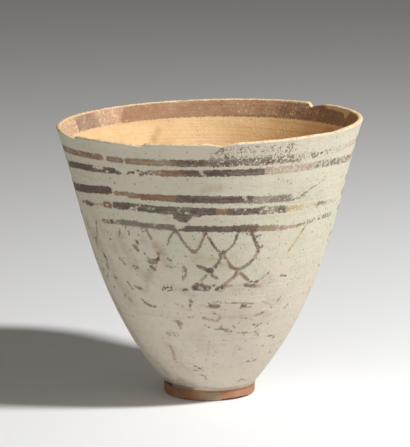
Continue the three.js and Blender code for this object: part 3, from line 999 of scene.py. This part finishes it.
def make_bowl(wheel):
    piece = turned_piece("bowl_with_slip_and_paint", bowl_outline(), 480, 0.5, 3.0, slipped_clay(), wheel)
    mesh = piece.data
    points = vertices_of(mesh)
    radius, _ = polar(points)
    depth = np.interp(points[:, 2], WALL_HEIGHTS, WALL_RADII) - radius
    inside = np.clip(depth / LIP_THICKNESS * 3 - 1, 0, 1) * (points[:, 2] > FOOT_HEIGHT + 3)
    wall = PaintedWall(points)
    outer = depth < LIP_THICKNESS / 2
    wall.lay(BANDS + NET + MARKS + back_strokes(), outer)
    wall.flake(FLAKES, outer)
    wall.stain(STAINS, outer)
    wall.lay(INNER_BAND, ~outer)
    wall.stain(INNER_STAINS, ~outer)
    wall.store(mesh)
    store_numbers(mesh, "inside", inside)
    store_numbers(mesh, "height", points[:, 2])
    lost = chipped_lip(points)
    top = np.clip((points[:, 2] - (HEIGHT - 1.6)) / 1.2, 0, 1)
    store_numbers(mesh, "lip_wear", np.maximum(top * 0.75, np.clip(lost / 0.4, 0, 1)))
    tilt_rim(points)
    put_vertices(mesh, points)
    finish_piece(piece, "slipped_clay", "thrown_bowl")


def left_join_darkening(angle):
    """Darker along the join on the left, fading towards the front."""
    return 1 - eased(np.abs(turn_between(angle, 214)), 18, 62)


def make_foot(wheel):
    piece = turned_piece("pierced_disc_foot", foot_outline(), 400, 0.25, 11.0, bare_clay(), wheel)
    mesh = piece.data
    points = vertices_of(mesh)
    _, angle = polar(points)
    height = points[:, 2] / FOOT_HEIGHT
    patch = 1 - eased(np.abs(turn_between(angle, 271)), 12, 17)
    top = eased(height, 0.75, 1.0) * 0.5
    store_numbers(mesh, "wiped", np.maximum(patch * 0.9, top))
    store_numbers(mesh, "dirt", left_join_darkening(angle) * (0.4 + 0.6 * height))
    spalled_foot(points)
    put_vertices(mesh, points)
    finish_piece(piece, "bare_clay", "disc_foot")


def make_coil(wheel):
    piece = turned_piece("luting_clay_over_the_join", coil_outline(), 400, 0.2, 5.0, smeared_clay(), wheel)
    mesh = piece.data
    points = vertices_of(mesh)
    _, angle = polar(points)
    store_numbers(mesh, "height", points[:, 2])
    store_numbers(mesh, "dirt", left_join_darkening(angle))
    opened_groove(points)
    put_vertices(mesh, points)
    finish_piece(piece, "smeared_clay", "luting_coil")


# The floor, the light and the camera

# The floor's and the backdrop's colour by depth, from 0 at the near end to 1 at the far end
FLOOR_NEAR, FLOOR_FAR = -0.15, 2.45
FLOOR_LEFT = [
    (0.0, linear(236, 238, 242)),
    (1.0, linear(236, 238, 242)),
]
FLOOR_RIGHT = [
    (0.0, linear(236, 238, 242)),
    (1.0, linear(236, 238, 242)),
]


def floor():
    """A pale, flat floor of one colour all over."""
    mesh = bpy.data.meshes.new("studio_floor")
    near, far, side = -3.0, 9.0, 5.0
    mesh.from_pydata([(-side, near, 0), (side, near, 0), (side, far, 0), (-side, far, 0)], [], [(0, 1, 2, 3)])
    plane = bpy.data.objects.new("studio_floor", mesh)
    bpy.context.scene.collection.objects.link(plane)
    material, tree, place = start_material("studio_floor")
    sideways, back, _ = tree.parts(place)
    depth = tree.node("ShaderNodeMapRange", {}, [back, FLOOR_NEAR, FLOOR_FAR, 0.0, 1.0])
    left = tree.node("ShaderNodeValToRGB", {"stops": FLOOR_LEFT}, [depth])
    right = tree.node("ShaderNodeValToRGB", {"stops": FLOOR_RIGHT}, [depth])
    colour = tree.mix(tree.smooth(sideways, -0.1, 0.16), left, right)
    surface = tree.node("ShaderNodeBsdfDiffuse", {}, {"Color": colour})
    tree.node("ShaderNodeOutputMaterial", {}, {"Surface": surface})
    mesh.materials.append(material)


def lamp(name, size, power, place, target, colour):
    data = bpy.data.lights.new(name, "AREA")
    data.shape = "DISK"
    data.size = size
    data.energy = power
    data.color = colour
    body = bpy.data.objects.new(name, data)
    body.location = place
    body.rotation_euler = (Vector(target) - Vector(place)).to_track_quat("-Z", "Y").to_euler()
    bpy.context.scene.collection.objects.link(body)


def lights():
    middle = (0, 0, 0.1)
    lamp("key_lamp", 0.18, 29, (0.939, -0.43, 1.257), middle, (1.0, 0.985, 0.955))
    lamp("front_card", 1.0, 3.0, (-0.7, -1.3, 0.55), middle, (1.0, 0.985, 0.95))
    world = bpy.data.worlds.new("studio_air")
    world.use_nodes = True
    backdrop = world.node_tree.nodes["Background"]
    backdrop.inputs["Color"].default_value = (1.0, 0.93, 0.8, 1)
    backdrop.inputs["Strength"].default_value = 0.13
    bpy.context.scene.world = world


def camera():
    focal_pixels = 2600.0
    sensor = 36.0
    data = bpy.data.cameras.new("camera")
    data.sensor_fit = "HORIZONTAL"
    data.sensor_width = sensor
    data.lens = focal_pixels / IMAGE_WIDTH * sensor
    data.clip_end = 50
    eye = bpy.data.objects.new("camera", data)
    eye.location = (0, -1.6796, 0.4329)
    eye.rotation_euler = (math.radians(90 - 10.79), 0, math.radians(0.10))
    bpy.context.scene.collection.objects.link(eye)
    bpy.context.scene.camera = eye


wheel = wheel_tree()
make_bowl(wheel)
make_foot(wheel)
make_coil(wheel)
floor()
lights()
camera()
bpy.context.scene.view_settings.view_transform = "Standard"
